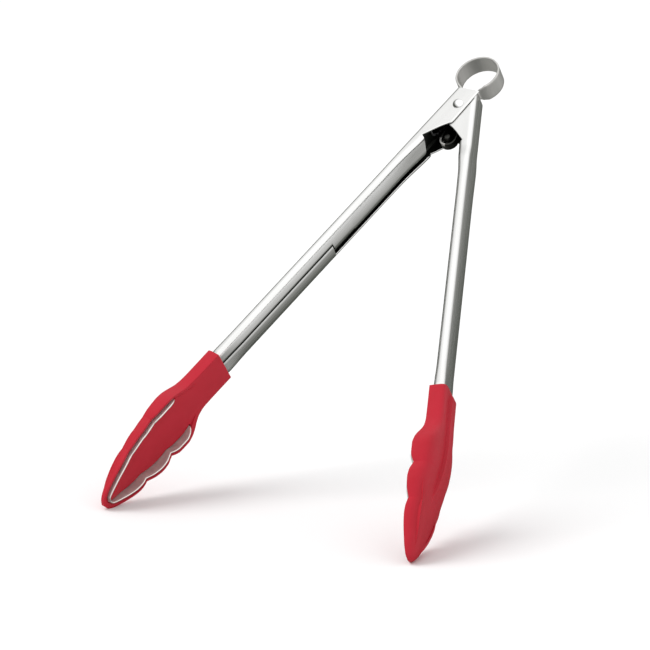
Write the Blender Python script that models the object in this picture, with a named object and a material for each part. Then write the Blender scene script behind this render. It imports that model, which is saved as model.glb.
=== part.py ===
"""Spring loaded kitchen tongs with silicone heads and a pull ring lock.

Arm coordinates, in millimetres: u runs from the hinge down the arm, v outward from
the hinge line, w along the hinge toward the front.  The pair is built around the hinge
with the front at -Y, and the stance empty leans it back on its two tips.
"""

import math

import bmesh
import bpy
from mathutils import Vector

MM = 0.001

# Stance and opening of the pair.
OPEN_HALF = math.radians(17.7)
LEAN = math.radians(51.0)

# Arms: flattened channel of thin sheet.
SHEET = 0.8
ARM_OUT = 8.4
ARM_IN = 3.1
ARM_HALF = 7.6
ARM_ROUND = 2.2
ARM_END = 205.0
INNER_EAR_HALF = 6.5
FRONT_LIP_EDGE = -2.0
FRONT_LIP_LOW_EDGE = 1.5
BACK_LIP_EDGE = 5.4
BACK_LIP_LOW_EDGE = -1.0
LIP_STEP = 97.0
LIP_NOTCH = 82.0

# Hinge.
PIN_R = 2.2
PIN_HOLE_R = 2.4
HEAD_R = 2.8
HEAD_H = 1.7
BUSH_R = 3.05
BUSH_HALF = 5.3
WASHER_R = 4.0
WASHER_T = 0.5

# Pull ring strap.
RING_R = 10.85
RING_Z = 23.6
STRAP_T = 1.0
RING_HALF = 4.8
STEM_HALF = 2.0
STEM_X = 3.9
STEM_LOW = -18.0
LOCK_PIN_R = 1.6
LOCK_PIN_HALF = 3.5

# Spring.
WIRE_R = 0.5
COIL_R = 3.85
COIL_TURNS = 3.0

# Heads.
MOUTH_U = 179.2
BORE_END = 206.0
BORE_GAP = 0.25
SLOT_GAP = 0.28
CORE_T = 0.8
CORE_START = 210.2
CORE_END = 266.2
TANG_START = 189.0
TANG_HALF = 4.0
TANG_V = (5.3, 6.2)
STUD_R = 1.5
STUD_U = (193.0, 199.0)

# Silicone head, by distance down the arm: half width, rim level, floor level, back
# level, roundness exponent.
HEAD_PLAN = (
    (179.2, 8.70, 2.00, 2.00, 10.20, 7.0),
    (186.0, 8.70, 2.05, 2.05, 10.30, 6.5),
    (194.0, 8.75, 2.10, 2.10, 10.40, 6.0),
    (199.0, 9.00, 2.15, 2.15, 10.55, 5.5),
    (203.0, 9.80, 1.90, 2.20, 10.70, 5.0),
    (206.5, 11.40, 1.30, 2.25, 10.80, 4.6),
    (209.5, 13.10, 0.50, 2.35, 10.80, 4.3),
    (213.0, 14.60, -0.20, 2.50, 10.70, 4.0),
    (217.0, 15.30, -0.65, 2.65, 10.50, 3.8),
    (222.0, 15.25, -0.60, 2.80, 10.10, 3.6),
    (225.2, 14.70, 0.10, 2.85, 9.75, 3.4),
    (226.7, 14.20, 0.70, 2.90, 9.40, 3.4),
    (228.4, 14.40, 0.10, 2.90, 9.15, 3.3),
    (231.0, 14.80, -0.80, 2.90, 8.70, 3.2),
    (235.0, 14.75, -1.30, 2.90, 7.95, 3.1),
    (239.5, 13.90, -1.25, 2.80, 7.15, 3.0),
    (242.7, 12.80, -0.90, 2.65, 6.60, 2.9),
    (244.6, 12.10, -0.55, 2.55, 6.25, 2.9),
    (246.4, 12.10, -1.15, 2.40, 5.95, 2.8),
    (249.5, 11.70, -1.90, 2.10, 5.45, 2.7),
    (253.0, 10.85, -2.30, 1.70, 4.90, 2.6),
    (257.5, 9.30, -2.45, 1.10, 4.10, 2.5),
    (262.0, 7.45, -2.45, 0.40, 3.20, 2.4),
    (265.0, 6.00, -2.45, -0.30, 2.40, 2.3),
    (267.3, 4.55, -2.40, -0.90, 1.50, 2.2),
    (269.0, 2.95, -2.35, -1.40, 0.50, 2.2),
    (270.0, 1.30, -2.30, -1.60, -0.30, 2.2),
)
RIB_START = 181.2
RIB_END = 246.3
RIB_HALF = 3.2

# Steel scoop inside each head: distance, outer half width, rim level, bottom level.
CORE_PLAN = (
    (210.2, 10.60, 1.90, 6.40),
    (211.4, 11.20, 0.60, 6.40),
    (213.2, 11.95, -0.60, 6.40),
    (216.5, 12.60, -1.45, 6.40),
    (221.5, 12.60, -1.50, 6.35),
    (225.0, 12.15, -0.85, 6.25),
    (226.7, 11.60, -0.20, 6.20),
    (228.4, 11.80, -0.80, 6.10),
    (231.0, 12.20, -1.70, 6.00),
    (235.0, 12.15, -2.20, 5.60),
    (239.5, 11.30, -2.15, 5.10),
    (242.7, 10.20, -1.80, 4.70),
    (244.6, 9.50, -1.45, 4.50),
    (246.4, 9.50, -2.05, 4.20),
    (249.5, 9.10, -2.80, 3.80),
    (253.0, 8.20, -3.20, 3.20),
    (257.5, 6.60, -3.30, 2.20),
    (261.0, 5.30, -3.30, 1.20),
    (263.5, 4.10, -3.30, 0.40),
    (265.2, 2.80, -3.25, -0.20),
    (266.2, 1.50, -3.20, -0.60),
)


def smooth(t):
    t = min(1.0, max(0.0, t))
    return t * t * (3.0 - 2.0 * t)


def table(rows, u, column):
    if u <= rows[0][0]:
        return rows[0][column]
    for low, high in zip(rows, rows[1:]):
        if u <= high[0]:
            t = (u - low[0]) / (high[0] - low[0])
            return low[column] + (high[column] - low[column]) * t
    return rows[-1][column]


def material(name, colour, roughness, metallic):
    made = bpy.data.materials.new(name)
    made.use_nodes = True
    shader = made.node_tree.nodes["Principled BSDF"]
    shader.inputs["Base Color"].default_value = (*colour, 1.0)
    shader.inputs["Roughness"].default_value = roughness
    shader.inputs["Metallic"].default_value = metallic
    return made


def finish_mesh(name, shape, parent, look, flip=False):
    bmesh.ops.remove_doubles(shape, verts=shape.verts, dist=1e-6)
    bmesh.ops.dissolve_degenerate(shape, edges=shape.edges, dist=1e-7)
    if flip:
        for vert in shape.verts:
            vert.co.x = -vert.co.x
        bmesh.ops.reverse_faces(shape, faces=shape.faces)
    mesh = bpy.data.meshes.new(name)
    shape.to_mesh(mesh)
    shape.free()
    made = bpy.data.objects.new(name, mesh)
    bpy.context.collection.objects.link(made)
    made.parent = parent
    if look is not None:
        mesh.materials.append(look)
    return made


def loft(shape, rings, loop=False):
    """Quads between point rings, with a face over each open end, facing outward."""
    made = [[shape.verts.new(Vector(point) * MM) for point in ring] for ring in rings]
    count = len(made[0])
    pairs = list(zip(made, made[1:]))
    if loop:
        pairs.append((made[-1], made[0]))
    faces = []
    for low, high in pairs:
        for i in range(count):
            j = (i + 1) % count
            faces.append(shape.faces.new((low[i], low[j], high[j], high[i])))
    if not loop:
        faces.append(shape.faces.new(list(reversed(made[0]))))
        faces.append(shape.faces.new(made[-1]))
    volume = 0.0
    for face in faces:
        corners = [vert.co for vert in face.verts]
        for second, third in zip(corners[1:], corners[2:]):
            volume += corners[0].dot(second.cross(third))
    if volume < 0.0:
        bmesh.ops.reverse_faces(shape, faces=faces)


def cylinder(shape, radius, start, end, axis, centre=(0.0, 0.0), sides=32):
    """A plain round bar along one axis between two positions."""
    rings = []
    for along in (start, end):
        ring = []
        for i in range(sides):
            angle = 2.0 * math.pi * (i + 0.37) / sides
            a = centre[0] + radius * math.cos(angle)
            b = centre[1] + radius * math.sin(angle)
            if axis == "Y":
                ring.append((a, along, b))
            else:
                ring.append((along, a, b))
        rings.append(ring)
    loft(shape, rings)


def cut(target, cutter):
    cutter.hide_render = True
    cutter.display_type = "WIRE"
    step = target.modifiers.new("Cut " + cutter.name, "BOOLEAN")
    step.operation = "DIFFERENCE"
    step.solver = "EXACT"
    step.object = cutter


# ---------------------------------------------------------------- arms


def ear_edge(u):
    """Level of the inner edge of the hinge ear."""
    rows = (
        (-12.0, -4.4),
        (0.0, -4.8),
        (9.6, -5.1),
        (11.0, -4.9),
        (12.6, -3.7),
        (15.0, -1.8),
        (18.0, 0.2),
        (21.0, 1.9),
        (23.5, 3.4),
    )
    return table(rows, u, 1)


def arm_inner(u):
    return ARM_IN - 1.2 * smooth((46.0 - u) / 22.0)


def lip_end(u, front):
    """Signed w position where the lip stops, toward the other side."""
    if front:
        if u < LIP_NOTCH:
            edge = FRONT_LIP_EDGE - 0.6
        elif u < LIP_STEP:
            edge = FRONT_LIP_EDGE
        else:
            edge = FRONT_LIP_LOW_EDGE
        return edge
    if u < LIP_STEP + 0.6:
        return BACK_LIP_EDGE
    return BACK_LIP_LOW_EDGE


def arm_point(s, u, half, ear):
    """Outer face point and outward direction at distance s from the back's middle."""
    flat = half - ARM_ROUND
    turn = 0.5 * math.pi * ARM_ROUND
    inner = arm_inner(u)
    wall = ARM_OUT - inner - 2.0 * ARM_ROUND
    if s <= flat:
        return (s, ARM_OUT), (0.0, 1.0)
    if s <= flat + turn:
        angle = (s - flat) / ARM_ROUND
        centre = (flat, ARM_OUT - ARM_ROUND)
        way = (math.sin(angle), math.cos(angle))
        return (centre[0] + ARM_ROUND * way[0], centre[1] + ARM_ROUND * way[1]), way
    below = s - flat - turn
    if ear or below <= wall:
        return (half, ARM_OUT - ARM_ROUND - below), (1.0, 0.0)
    if below <= wall + turn:
        angle = (below - wall) / ARM_ROUND
        centre = (flat, inner + ARM_ROUND)
        way = (math.cos(angle), -math.sin(angle))
        return (centre[0] + ARM_ROUND * way[0], centre[1] + ARM_ROUND * way[1]), way
    return (flat - (below - wall - turn), inner), (0.0, -1.0)


def arm_side(u, half, front):
    """Distances from the back's middle to each point of one side of the section."""
    flat = half - ARM_ROUND
    turn = 0.5 * math.pi * ARM_ROUND
    wall = ARM_OUT - arm_inner(u) - 2.0 * ARM_ROUND
    ear = u < 24.0
    if ear:
        stop = flat + turn + (ARM_OUT - ARM_ROUND - ear_edge(u))
    else:
        full = flat + turn + wall + turn + (flat - lip_end(u, front))
        grow = smooth((u - 23.5) / (4.5 if front else 3.0))
        stop = (flat + turn + wall) + (full - flat - turn - wall) * grow
    marks = [0.0, flat]
    marks += [flat + turn * k / 5.0 for k in range(1, 6)]
    if ear:
        rest = stop - flat - turn
        marks += [flat + turn + rest * k / 8.0 for k in range(1, 9)]
    else:
        marks += [flat + turn + wall]
        marks += [flat + turn + wall + turn * k / 5.0 for k in range(1, 6)]
        lip = max(0.0, stop - flat - turn - wall - turn)
        marks += [flat + turn + wall + turn + lip * k / 2.0 for k in range(1, 3)]
    last = len(marks) - 1
    return [min(m, stop - 0.03 * (last - k)) for k, m in enumerate(marks)], ear


def swage(u):
    """The tube is drawn in a little where the silicone sleeve covers it."""
    return 1.0 - 0.04 * smooth((u - MOUTH_U + 1.4) / 1.0)


def arm_ring(u, half_at, top):
    half = half_at(u)
    size = swage(u)
    centre = 0.5 * (ARM_OUT + ARM_IN)
    outside = []
    inside = []
    for front in (False, True):
        marks, ear = arm_side(u, half, front)
        points = []
        for s in marks:
            (w, v), way = arm_point(s, u, half, ear)
            points.append(((w, v), (w - SHEET * way[0], v - SHEET * way[1])))
        if not front:
            points = [((-a[0], a[1]), (-b[0], b[1])) for a, b in reversed(points)]
        else:
            points = points[1:]
        outside += [a for a, b in points]
        inside += [b for a, b in points]
    ring = []
    for w, v in outside + list(reversed(inside)):
        along = top(v) if u <= -8.9 else u
        ring.append((-centre - size * (v - centre), -size * w, -along))
    return ring


def arm(name, parent, look, half_at, top, flip):
    """The sheet channel, drawn as the left arm hanging straight down."""
    stations = [-9.0, -4.0, 3.7, 9.6, 10.4, 11.0, 11.8, 12.6, 13.8, 15.0, 16.5]
    stations += [18.0, 19.5, 21.0, 22.3, 23.5, 24.2, 25.0, 25.8, 26.6, 27.4, 28.2, 30.0]
    stations += [33.0, 37.0, 41.0, 46.0, 60.0, 81.9, 82.1, 89.0, 96.3, 96.9, 97.1, 97.5]
    stations += [97.7, 98.4, 110.0, 130.0, 150.0, 170.0]
    stations += [MOUTH_U - 1.4 + 0.25 * k for k in range(5)] + [190.0, ARM_END]
    shape = bmesh.new()
    loft(shape, [arm_ring(u, half_at, top) for u in stations])
    made = finish_mesh(name, shape, parent, look, flip)
    return made


# ---------------------------------------------------------------- heads


def rib_height(u):
    rise = smooth((u - RIB_START) / 2.6)
    fade = smooth((RIB_END - u) / 20.0)
    return 1.6 * rise * fade


def rib_shape(w):
    return smooth((RIB_HALF - abs(w)) / 0.9)


def head_ring(u):
    """Section of the silicone head: floor, lip, side wall, back."""
    width = table(HEAD_PLAN, u, 1)
    rim = table(HEAD_PLAN, u, 2)
    floor = table(HEAD_PLAN, u, 3)
    back = table(HEAD_PLAN, u, 4)
    power = table(HEAD_PLAN, u, 5)
    core = width - 2.6 * smooth((u - 194.0) / 12.0)
    if u > 256.0:
        core = min(core, max(0.25 * width, width - 2.6))
    else:
        core = max(core, 6.5)
    lip = width - min(0.9, 0.35 * width)
    half = [(0.0, floor), (0.5 * core, floor), (core - min(1.1, 0.3 * core), floor)]
    mid = 0.5 * (rim + 2.6) if u < 256.0 else 0.5 * (rim + floor)
    half.append((core, max(mid, rim)))
    half.append((lip, rim))
    half.append((width - 0.12 * min(width, 3.0), rim))
    half.append((width, rim + min(0.45, 0.2 * (back - rim))))
    depth = back - rim - min(0.45, 0.2 * (back - rim))
    steps = 14
    for k in range(1, steps + 1):
        angle = 0.5 * math.pi * k / steps
        w = width * math.cos(angle) ** (2.0 / power)
        v = back - depth + depth * math.sin(angle) ** (2.0 / power)
        half.append((w, v))
    ring = []
    for w, v in half:
        v += rib_height(u) * rib_shape(w) * smooth((v - 5.0) / 3.0)
        ring.append((w, v))
    other = [(-w, v) for w, v in reversed(ring[1:-1])]
    return [(-v, -w, -u) for w, v in ring + other]


def head_stations():
    marks = {row[0] for row in HEAD_PLAN}
    marks |= {RIB_START, 182.1, 183.0, 183.8, 215.0, 219.5, 223.8, 226.0, 233.0, 237.2}
    marks |= {241.2, 243.8, 251.2, 255.2, 259.8, 263.5, 266.2, 268.2, 269.6}
    return sorted(marks)


def core_outline(shape, grow):
    """Closed block with the outside of the scoop, larger by grow."""
    rings = []
    last = len(CORE_PLAN) - 1
    for index, row in enumerate(CORE_PLAN):
        u, width, rim, low = row
        if index == 0:
            u -= grow
        elif index == last:
            u += grow
        else:
            u += 0.13
        if grow > 0.0:
            rim -= 6.0
        rings.append(scoop_section(u, width + grow, rim, low + grow))
    loft(shape, rings)


def scoop_section(u, width, rim, low):
    """Upright side walls with rounded lower corners."""
    bend = min(2.2, 0.45 * width, 0.4 * (low - rim))
    half = [(0.0, rim), (width, rim), (width, low - bend)]
    for k in range(1, 5):
        angle = 0.5 * math.pi * k / 4.0
        w = width - bend * (1.0 - math.cos(angle))
        half.append((w, low - bend + bend * math.sin(angle)))
    half.append((0.0, low))
    other = [(-w, v) for w, v in reversed(half[1:-1])]
    return [(-v, -w, -u) for w, v in half + other]


def core_hollow(shape, shrink):
    """Closed block that empties the scoop, smaller by shrink, open toward the hinge."""
    marks = [CORE_START - 4.3]
    marks += [0.5 * (low[0] + high[0]) for low, high in zip(CORE_PLAN, CORE_PLAN[1:-1])]
    marks.append(CORE_END - CORE_T - 0.5 - shrink)
    rings = []
    for u in marks:
        width = table(CORE_PLAN, u, 1)
        rim = table(CORE_PLAN, u, 2)
        low = table(CORE_PLAN, u, 3)
        slope = smooth((u - 240.0) / 22.0)
        inset = (CORE_T + shrink) * (1.0 + 0.35 * slope)
        inset = min(inset, 0.7 * width)
        rings.append(scoop_section(u, width - inset, rim - 12.0, low - CORE_T - shrink))
    loft(shape, rings)


def tang(shape, grow):
    rings = []
    for u in (TANG_START - grow, CORE_START + 2.0):
        low = TANG_V[0] - grow
        high = TANG_V[1] + grow
        half = TANG_HALF + grow
        ring = [(half, low), (half, high), (-half, high), (-half, low)]
        rings.append([(-v, -w, -u) for w, v in ring])
    loft(shape, rings)


def head(side, parent, rubber, steel, flip):
    shape = bmesh.new()
    loft(shape, [head_ring(u) for u in head_stations()])
    grip = finish_mesh("grip_" + side, shape, parent, rubber, flip)

    bore = bmesh.new()
    rings = []
    for u in (MOUTH_U - 2.0, BORE_END):
        ring = []
        half = ARM_HALF + BORE_GAP
        low = ARM_IN - BORE_GAP
        high = ARM_OUT + BORE_GAP
        bend = ARM_ROUND
        for cw, cv, first in (
            (half - bend, high - bend, 0),
            (-half + bend, high - bend, 1),
            (-half + bend, low + bend, 2),
            (half - bend, low + bend, 3),
        ):
            for k in range(5):
                angle = 0.5 * math.pi * (first + k / 4.0)
                w = cw + bend * math.cos(angle)
                v = cv + bend * math.sin(angle)
                ring.append((-v, -w, -u))
        rings.append(ring)
    loft(bore, rings)
    cut(grip, finish_mesh("bore_guide_" + side, bore, parent, None, flip))

    outer = bmesh.new()
    core_outline(outer, SLOT_GAP)
    slot = finish_mesh("slot_guide_" + side, outer, parent, None, flip)
    inner = bmesh.new()
    core_hollow(inner, SLOT_GAP)
    island = finish_mesh("island_guide_" + side, inner, parent, None, flip)
    cut(slot, island)
    cut(grip, slot)
    way = bmesh.new()
    tang(way, SLOT_GAP)
    cut(grip, finish_mesh("tang_guide_" + side, way, parent, None, flip))

    block = bmesh.new()
    core_outline(block, 0.0)
    scoop = finish_mesh("scoop_" + side, block, parent, steel, flip)
    empty = bmesh.new()
    core_hollow(empty, 0.0)
    cut(scoop, finish_mesh("hollow_guide_" + side, empty, parent, None, flip))
    tongue = bmesh.new()
    tang(tongue, 0.0)
    strip = finish_mesh("tongue_guide_" + side, tongue, parent, None, flip)
    strip.hide_render = True
    strip.display_type = "WIRE"
    join = scoop.modifiers.new("Tang", "BOOLEAN")
    join.operation = "UNION"
    join.solver = "EXACT"
    join.object = strip
    return grip, scoop


def studs(side, parent, look, arm_body, scoop, flip):
    """Two flush rivets through the arm's back and the scoop's tang."""
    holes = bmesh.new()
    for place, u in zip(("upper", "lower"), STUD_U):
        shape = bmesh.new()
        rings = []
        for radius, v in ((STUD_R, ARM_OUT - 0.13), (STUD_R, 5.0), (2.1, 5.0), (2.1, 4.5)):
            ring = []
            for k in range(20):
                angle = 2.0 * math.pi * k / 20
                ring.append((-v, radius * math.cos(angle), radius * math.sin(angle) - u))
            rings.append(ring)
        loft(shape, rings)
        finish_mesh("core_rivet_" + side + "_" + place, shape, parent, look, flip)
        radius = STUD_R + 0.15
        cylinder(holes, radius, -ARM_OUT - 1.0, 0.4 - TANG_V[0], "X", (0.0, -u), 20)
    guide = finish_mesh("stud_guide_" + side, holes, parent, None, flip)
    cut(arm_body, guide)
    cut(scoop, guide)


# ---------------------------------------------------------------- hinge


def revolve(shape, profile, sides=40):
    """Round body about the hinge axis from (radius, y) points, both ends on it."""
    rings = []
    for radius, y in profile:
        ring = []
        for i in range(sides):
            angle = 2.0 * math.pi * i / sides
            ring.append((radius * math.cos(angle), y, radius * math.sin(angle)))
        rings.append(ring)
    loft(shape, rings)


def hinge_rivet(parent, look):
    front = ARM_HALF + 0.15
    rear = front + WASHER_T + 0.15
    profile = []
    for k in range(7):
        angle = 0.5 * math.pi * k / 6.0
        radius = max(0.05, HEAD_R * math.sin(angle))
        profile.append((radius, -front - HEAD_H * math.cos(angle)))
    profile.append((PIN_R, -front))
    profile.append((PIN_R, rear))
    for k in range(6, -1, -1):
        angle = 0.5 * math.pi * k / 6.0
        radius = max(0.05, HEAD_R * math.sin(angle))
        profile.append((radius, rear + 0.8 * HEAD_H * math.cos(angle)))
    shape = bmesh.new()
    revolve(shape, profile)
    return finish_mesh("hinge_rivet", shape, parent, look)


def tube(name, outer, inner, low, high, parent, look):
    rings = []
    for radius, y in ((outer, low), (outer, high), (inner, high), (inner, low)):
        ring = []
        for i in range(40):
            angle = 2.0 * math.pi * i / 40
            ring.append((radius * math.cos(angle), y, radius * math.sin(angle)))
        rings.append(ring)
    shape = bmesh.new()
    loft(shape, rings, True)
    return finish_mesh(name, shape, parent, look)


def strap_path():
    """Closed strip path in the X-Z plane with its half width, from the low bend."""
    points = []
    bend = STEM_X
    for k in range(9):
        angle = -0.5 * math.pi + 0.5 * math.pi * k / 8.0
        place = (bend * math.cos(angle), STEM_LOW + bend * math.sin(angle))
        points.append((place[0], place[1], STEM_HALF))
    points.append((STEM_X, -9.0, STEM_HALF))
    points.append((STEM_X, 0.0, STEM_HALF))
    points.append((STEM_X, 8.0, STEM_HALF))
    start = math.asin((STEM_X + 1.2) / RING_R)
    low = RING_Z - RING_R * math.cos(start)
    points.append((STEM_X, low - 1.8, STEM_HALF + 0.2))
    points.append((STEM_X + 0.15, low - 0.9, STEM_HALF + 0.7))
    points.append((STEM_X + 0.5, low - 0.3, STEM_HALF + 1.3))
    count = 44
    for k in range(count + 1):
        angle = start + (math.pi - start) * k / count
        x = RING_R * math.sin(angle)
        z = RING_Z - RING_R * math.cos(angle)
        wide = STEM_HALF + 1.8 + (RING_HALF - STEM_HALF - 1.8) * smooth(k / 5.0)
        points.append((x, z, wide))
    mirrored = [(-x, z, half) for x, z, half in reversed(points[1:-1])]
    return points + mirrored


def pull_ring(parent, look):
    path = strap_path()
    rings = []
    count = len(path)
    for i in range(count):
        x, z, half = path[i]
        ahead = path[(i + 1) % count]
        behind = path[i - 1]
        along = Vector((ahead[0] - behind[0], 0.0, ahead[1] - behind[1])).normalized()
        out = Vector((along.z, 0.0, -along.x)) * (0.5 * STRAP_T)
        ring = []
        for side, y in ((1, -half), (1, half), (-1, half), (-1, -half)):
            ring.append((x + side * out.x, y, z + side * out.z))
        rings.append(ring)
    shape = bmesh.new()
    loft(shape, rings, True)
    made = finish_mesh("pull_ring", shape, parent, look)
    edge = made.modifiers.new("Edge", "BEVEL")
    edge.width = 0.12 * MM
    edge.segments = 2
    edge.limit_method = "ANGLE"
    edge.angle_limit = math.radians(50.0)
    return made


def spring_path():
    """Two coils joined by a bridge on the left, with free legs on the right."""
    leg = 17.5
    lean = OPEN_HALF + math.asin((6.6 - COIL_R) / leg)
    near = -5.0
    far = -2.75
    down_right = Vector((math.sin(lean), 0.0, -math.cos(lean)))
    down_left = Vector((-down_right.x, 0.0, down_right.z))
    first_angle = lean
    last_angle = math.pi - lean + 2.0 * math.pi * (COIL_TURNS - 1.0)
    steps = int(18 * COIL_TURNS)
    coil = []
    for k in range(steps + 1):
        t = k / steps
        angle = first_angle + (last_angle - first_angle) * t
        y = near + (far - near) * t
        coil.append(Vector((COIL_R * math.cos(angle), y, COIL_R * math.sin(angle))))
    foot = coil[-1] + down_left * leg
    front = [coil[0] + down_right * leg] + coil
    front.append(foot - down_left * 2.0)
    front.append(foot - down_left * 0.5 + Vector((0.0, 0.5, 0.0)))
    front.append(foot + Vector((0.0, 1.3, 0.0)))
    return front + [Vector((p.x, -p.y, p.z)) for p in reversed(front)]


def spring(parent, look):
    path = spring_path()
    rings = []
    normal = None
    for i, point in enumerate(path):
        ahead = path[min(i + 1, len(path) - 1)]
        behind = path[max(i - 1, 0)]
        along = (ahead - behind).normalized()
        if normal is None:
            normal = along.cross(Vector((0.0, 1.0, 0.0))).normalized()
        normal = (normal - along * normal.dot(along)).normalized()
        third = along.cross(normal)
        ring = []
        for k in range(8):
            angle = 2.0 * math.pi * k / 8
            place = point + WIRE_R * (normal * math.cos(angle) + third * math.sin(angle))
            ring.append(tuple(place))
        rings.append(ring)
    shape = bmesh.new()
    loft(shape, rings)
    return finish_mesh("torsion_spring", shape, parent, look)


def empty(name, parent, rotation=(0.0, 0.0, 0.0)):
    made = bpy.data.objects.new(name, None)
    made.rotation_euler = rotation
    made.parent = parent
    bpy.context.collection.objects.link(made)
    return made


def set_on_floor(stance):
    """Puts the lowest points on the floor and the footprint's middle over the origin."""
    bpy.context.view_layer.update()
    low = Vector((1e9, 1e9, 1e9))
    high = Vector((-1e9, -1e9, -1e9))
    for item in bpy.data.objects:
        if item.type != "MESH" or item.hide_render:
            continue
        for vert in item.data.vertices:
            place = item.matrix_world @ vert.co
            low = Vector(map(min, low, place))
            high = Vector(map(max, high, place))
    stance.location = (0.0, round(-0.5 * (low.y + high.y), 5), round(-low.z, 5))


def main():
    for old in list(bpy.data.objects):
        bpy.data.objects.remove(old, do_unlink=True)

    brushed = material("stainless_arm", (0.62, 0.62, 0.61), 0.25, 1.0)
    brushed_2 = material("stainless_arm_right", (0.62, 0.62, 0.61), 0.25, 1.0)
    strip = material("stainless_strip", (0.58, 0.58, 0.57), 0.28, 1.0)
    polish = material("polished_rivet", (0.72, 0.72, 0.72), 0.12, 1.0)
    turned = material("hinge_steel", (0.5, 0.5, 0.5), 0.35, 1.0)
    zinc = material("plated_washer", (0.6, 0.6, 0.6), 0.3, 1.0)
    wire = material("spring_wire", (0.4, 0.4, 0.41), 0.3, 1.0)
    pin = material("lock_pin_steel", (0.65, 0.65, 0.65), 0.2, 1.0)
    red_l = material("red_silicone_left", (0.55, 0.03, 0.04), 0.45, 0.0)
    red_r = material("red_silicone_right", (0.55, 0.03, 0.04), 0.45, 0.0)
    edge_l = material("scoop_steel_left", (0.7, 0.68, 0.68), 0.25, 1.0)
    edge_r = material("scoop_steel_right", (0.7, 0.68, 0.68), 0.25, 1.0)
    stud_l = material("core_rivet_left", (0.55, 0.55, 0.55), 0.35, 1.0)
    stud_r = material("core_rivet_right", (0.55, 0.55, 0.55), 0.35, 1.0)

    stance = empty("stance", None, (-LEAN, 0.0, 0.0))
    left = empty("left_swing", stance, (0.0, OPEN_HALF, 0.0))
    right = empty("right_swing", stance, (0.0, -OPEN_HALF, 0.0))
    middle = empty("middle", stance)

    def wide(u):
        return ARM_HALF

    def narrow(u):
        return INNER_EAR_HALF + (ARM_HALF - INNER_EAR_HALF) * smooth((u - 27.0) / 10.0)

    def left_top(v):
        return -9.0 - 2.4 * (ARM_OUT - v) / 13.0

    def right_top(v):
        return -9.0 + 3.6 * ((ARM_OUT - v) / 13.0) ** 2

    arm_left = arm("arm_left", left, brushed, wide, left_top, False)
    arm_right = arm("arm_right", right, brushed_2, narrow, right_top, True)
    for side, body in (("left", arm_left), ("right", arm_right)):
        hole = bmesh.new()
        cylinder(hole, PIN_HOLE_R, -12.0, 12.0, "Y", (0.0, 0.0), 40)
        cut(body, finish_mesh("pin_guide_" + side, hole, body.parent, None))

    grip_left, scoop_left = head("left", left, red_l, edge_l, False)
    grip_right, scoop_right = head("right", right, red_r, edge_r, True)
    studs("left", left, stud_l, arm_left, scoop_left, False)
    studs("right", right, stud_r, arm_right, scoop_right, True)

    hinge_rivet(left, polish)
    low = ARM_HALF + 0.3
    tube("rivet_washer", WASHER_R, PIN_R + 0.2, low, low + WASHER_T - 0.05, left, zinc)
    tube("hinge_bush", BUSH_R, PIN_R + 0.25, -BUSH_HALF, BUSH_HALF, middle, turned)
    spring(middle, wire)
    pull_ring(middle, strip)
    bar = bmesh.new()
    cylinder(bar, LOCK_PIN_R, -LOCK_PIN_HALF, LOCK_PIN_HALF, "Y", (0.0, STEM_LOW), 28)
    finish_mesh("lock_pin", bar, middle, pin)

    set_on_floor(stance)


main()
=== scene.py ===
"""Spring loaded kitchen tongs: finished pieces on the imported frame, studio and camera.

Arm coordinates, in millimetres: u runs from the hinge down the arm, v outward from the
hinge line, w along the hinge toward the front.  Every piece is placed in the stance of
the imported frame, and the brushing of the steel is turned to run along its own arm.
"""

import math

import bmesh
import bpy
from mathutils import Matrix, Vector


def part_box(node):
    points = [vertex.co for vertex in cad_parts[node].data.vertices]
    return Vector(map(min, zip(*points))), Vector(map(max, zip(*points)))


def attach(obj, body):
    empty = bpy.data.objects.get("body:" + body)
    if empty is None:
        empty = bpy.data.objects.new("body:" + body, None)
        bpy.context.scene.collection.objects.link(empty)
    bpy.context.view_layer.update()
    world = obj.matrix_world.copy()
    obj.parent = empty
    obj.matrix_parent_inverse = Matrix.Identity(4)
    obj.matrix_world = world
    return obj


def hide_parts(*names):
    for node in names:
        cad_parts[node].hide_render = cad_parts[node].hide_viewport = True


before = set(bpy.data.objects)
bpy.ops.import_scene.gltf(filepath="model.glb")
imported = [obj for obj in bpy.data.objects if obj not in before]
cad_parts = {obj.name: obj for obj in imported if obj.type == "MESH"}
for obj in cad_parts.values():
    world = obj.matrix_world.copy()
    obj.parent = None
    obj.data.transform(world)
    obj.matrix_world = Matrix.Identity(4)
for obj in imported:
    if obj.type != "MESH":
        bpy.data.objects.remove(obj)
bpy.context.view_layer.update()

MM = 0.001
OPEN_HALF = math.radians(17.7)
LEAN = math.radians(51.0)

SHEET = 0.8
ARM_OUT = 8.4
ARM_IN = 3.1
ARM_HALF = 7.6
ARM_ROUND = 2.2
ARM_END = 205.0
ARM_MIDDLE = 0.5 * (ARM_OUT + ARM_IN)
EDGE = 0.26
END_EASE = 0.28
EAR_END = 24.0
LIP_GROWS = 23.5
SWAGE_SHARE = 0.04
SWAGE_LEAD = 1.4
REAR_EAR_CUT = 6.0

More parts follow.
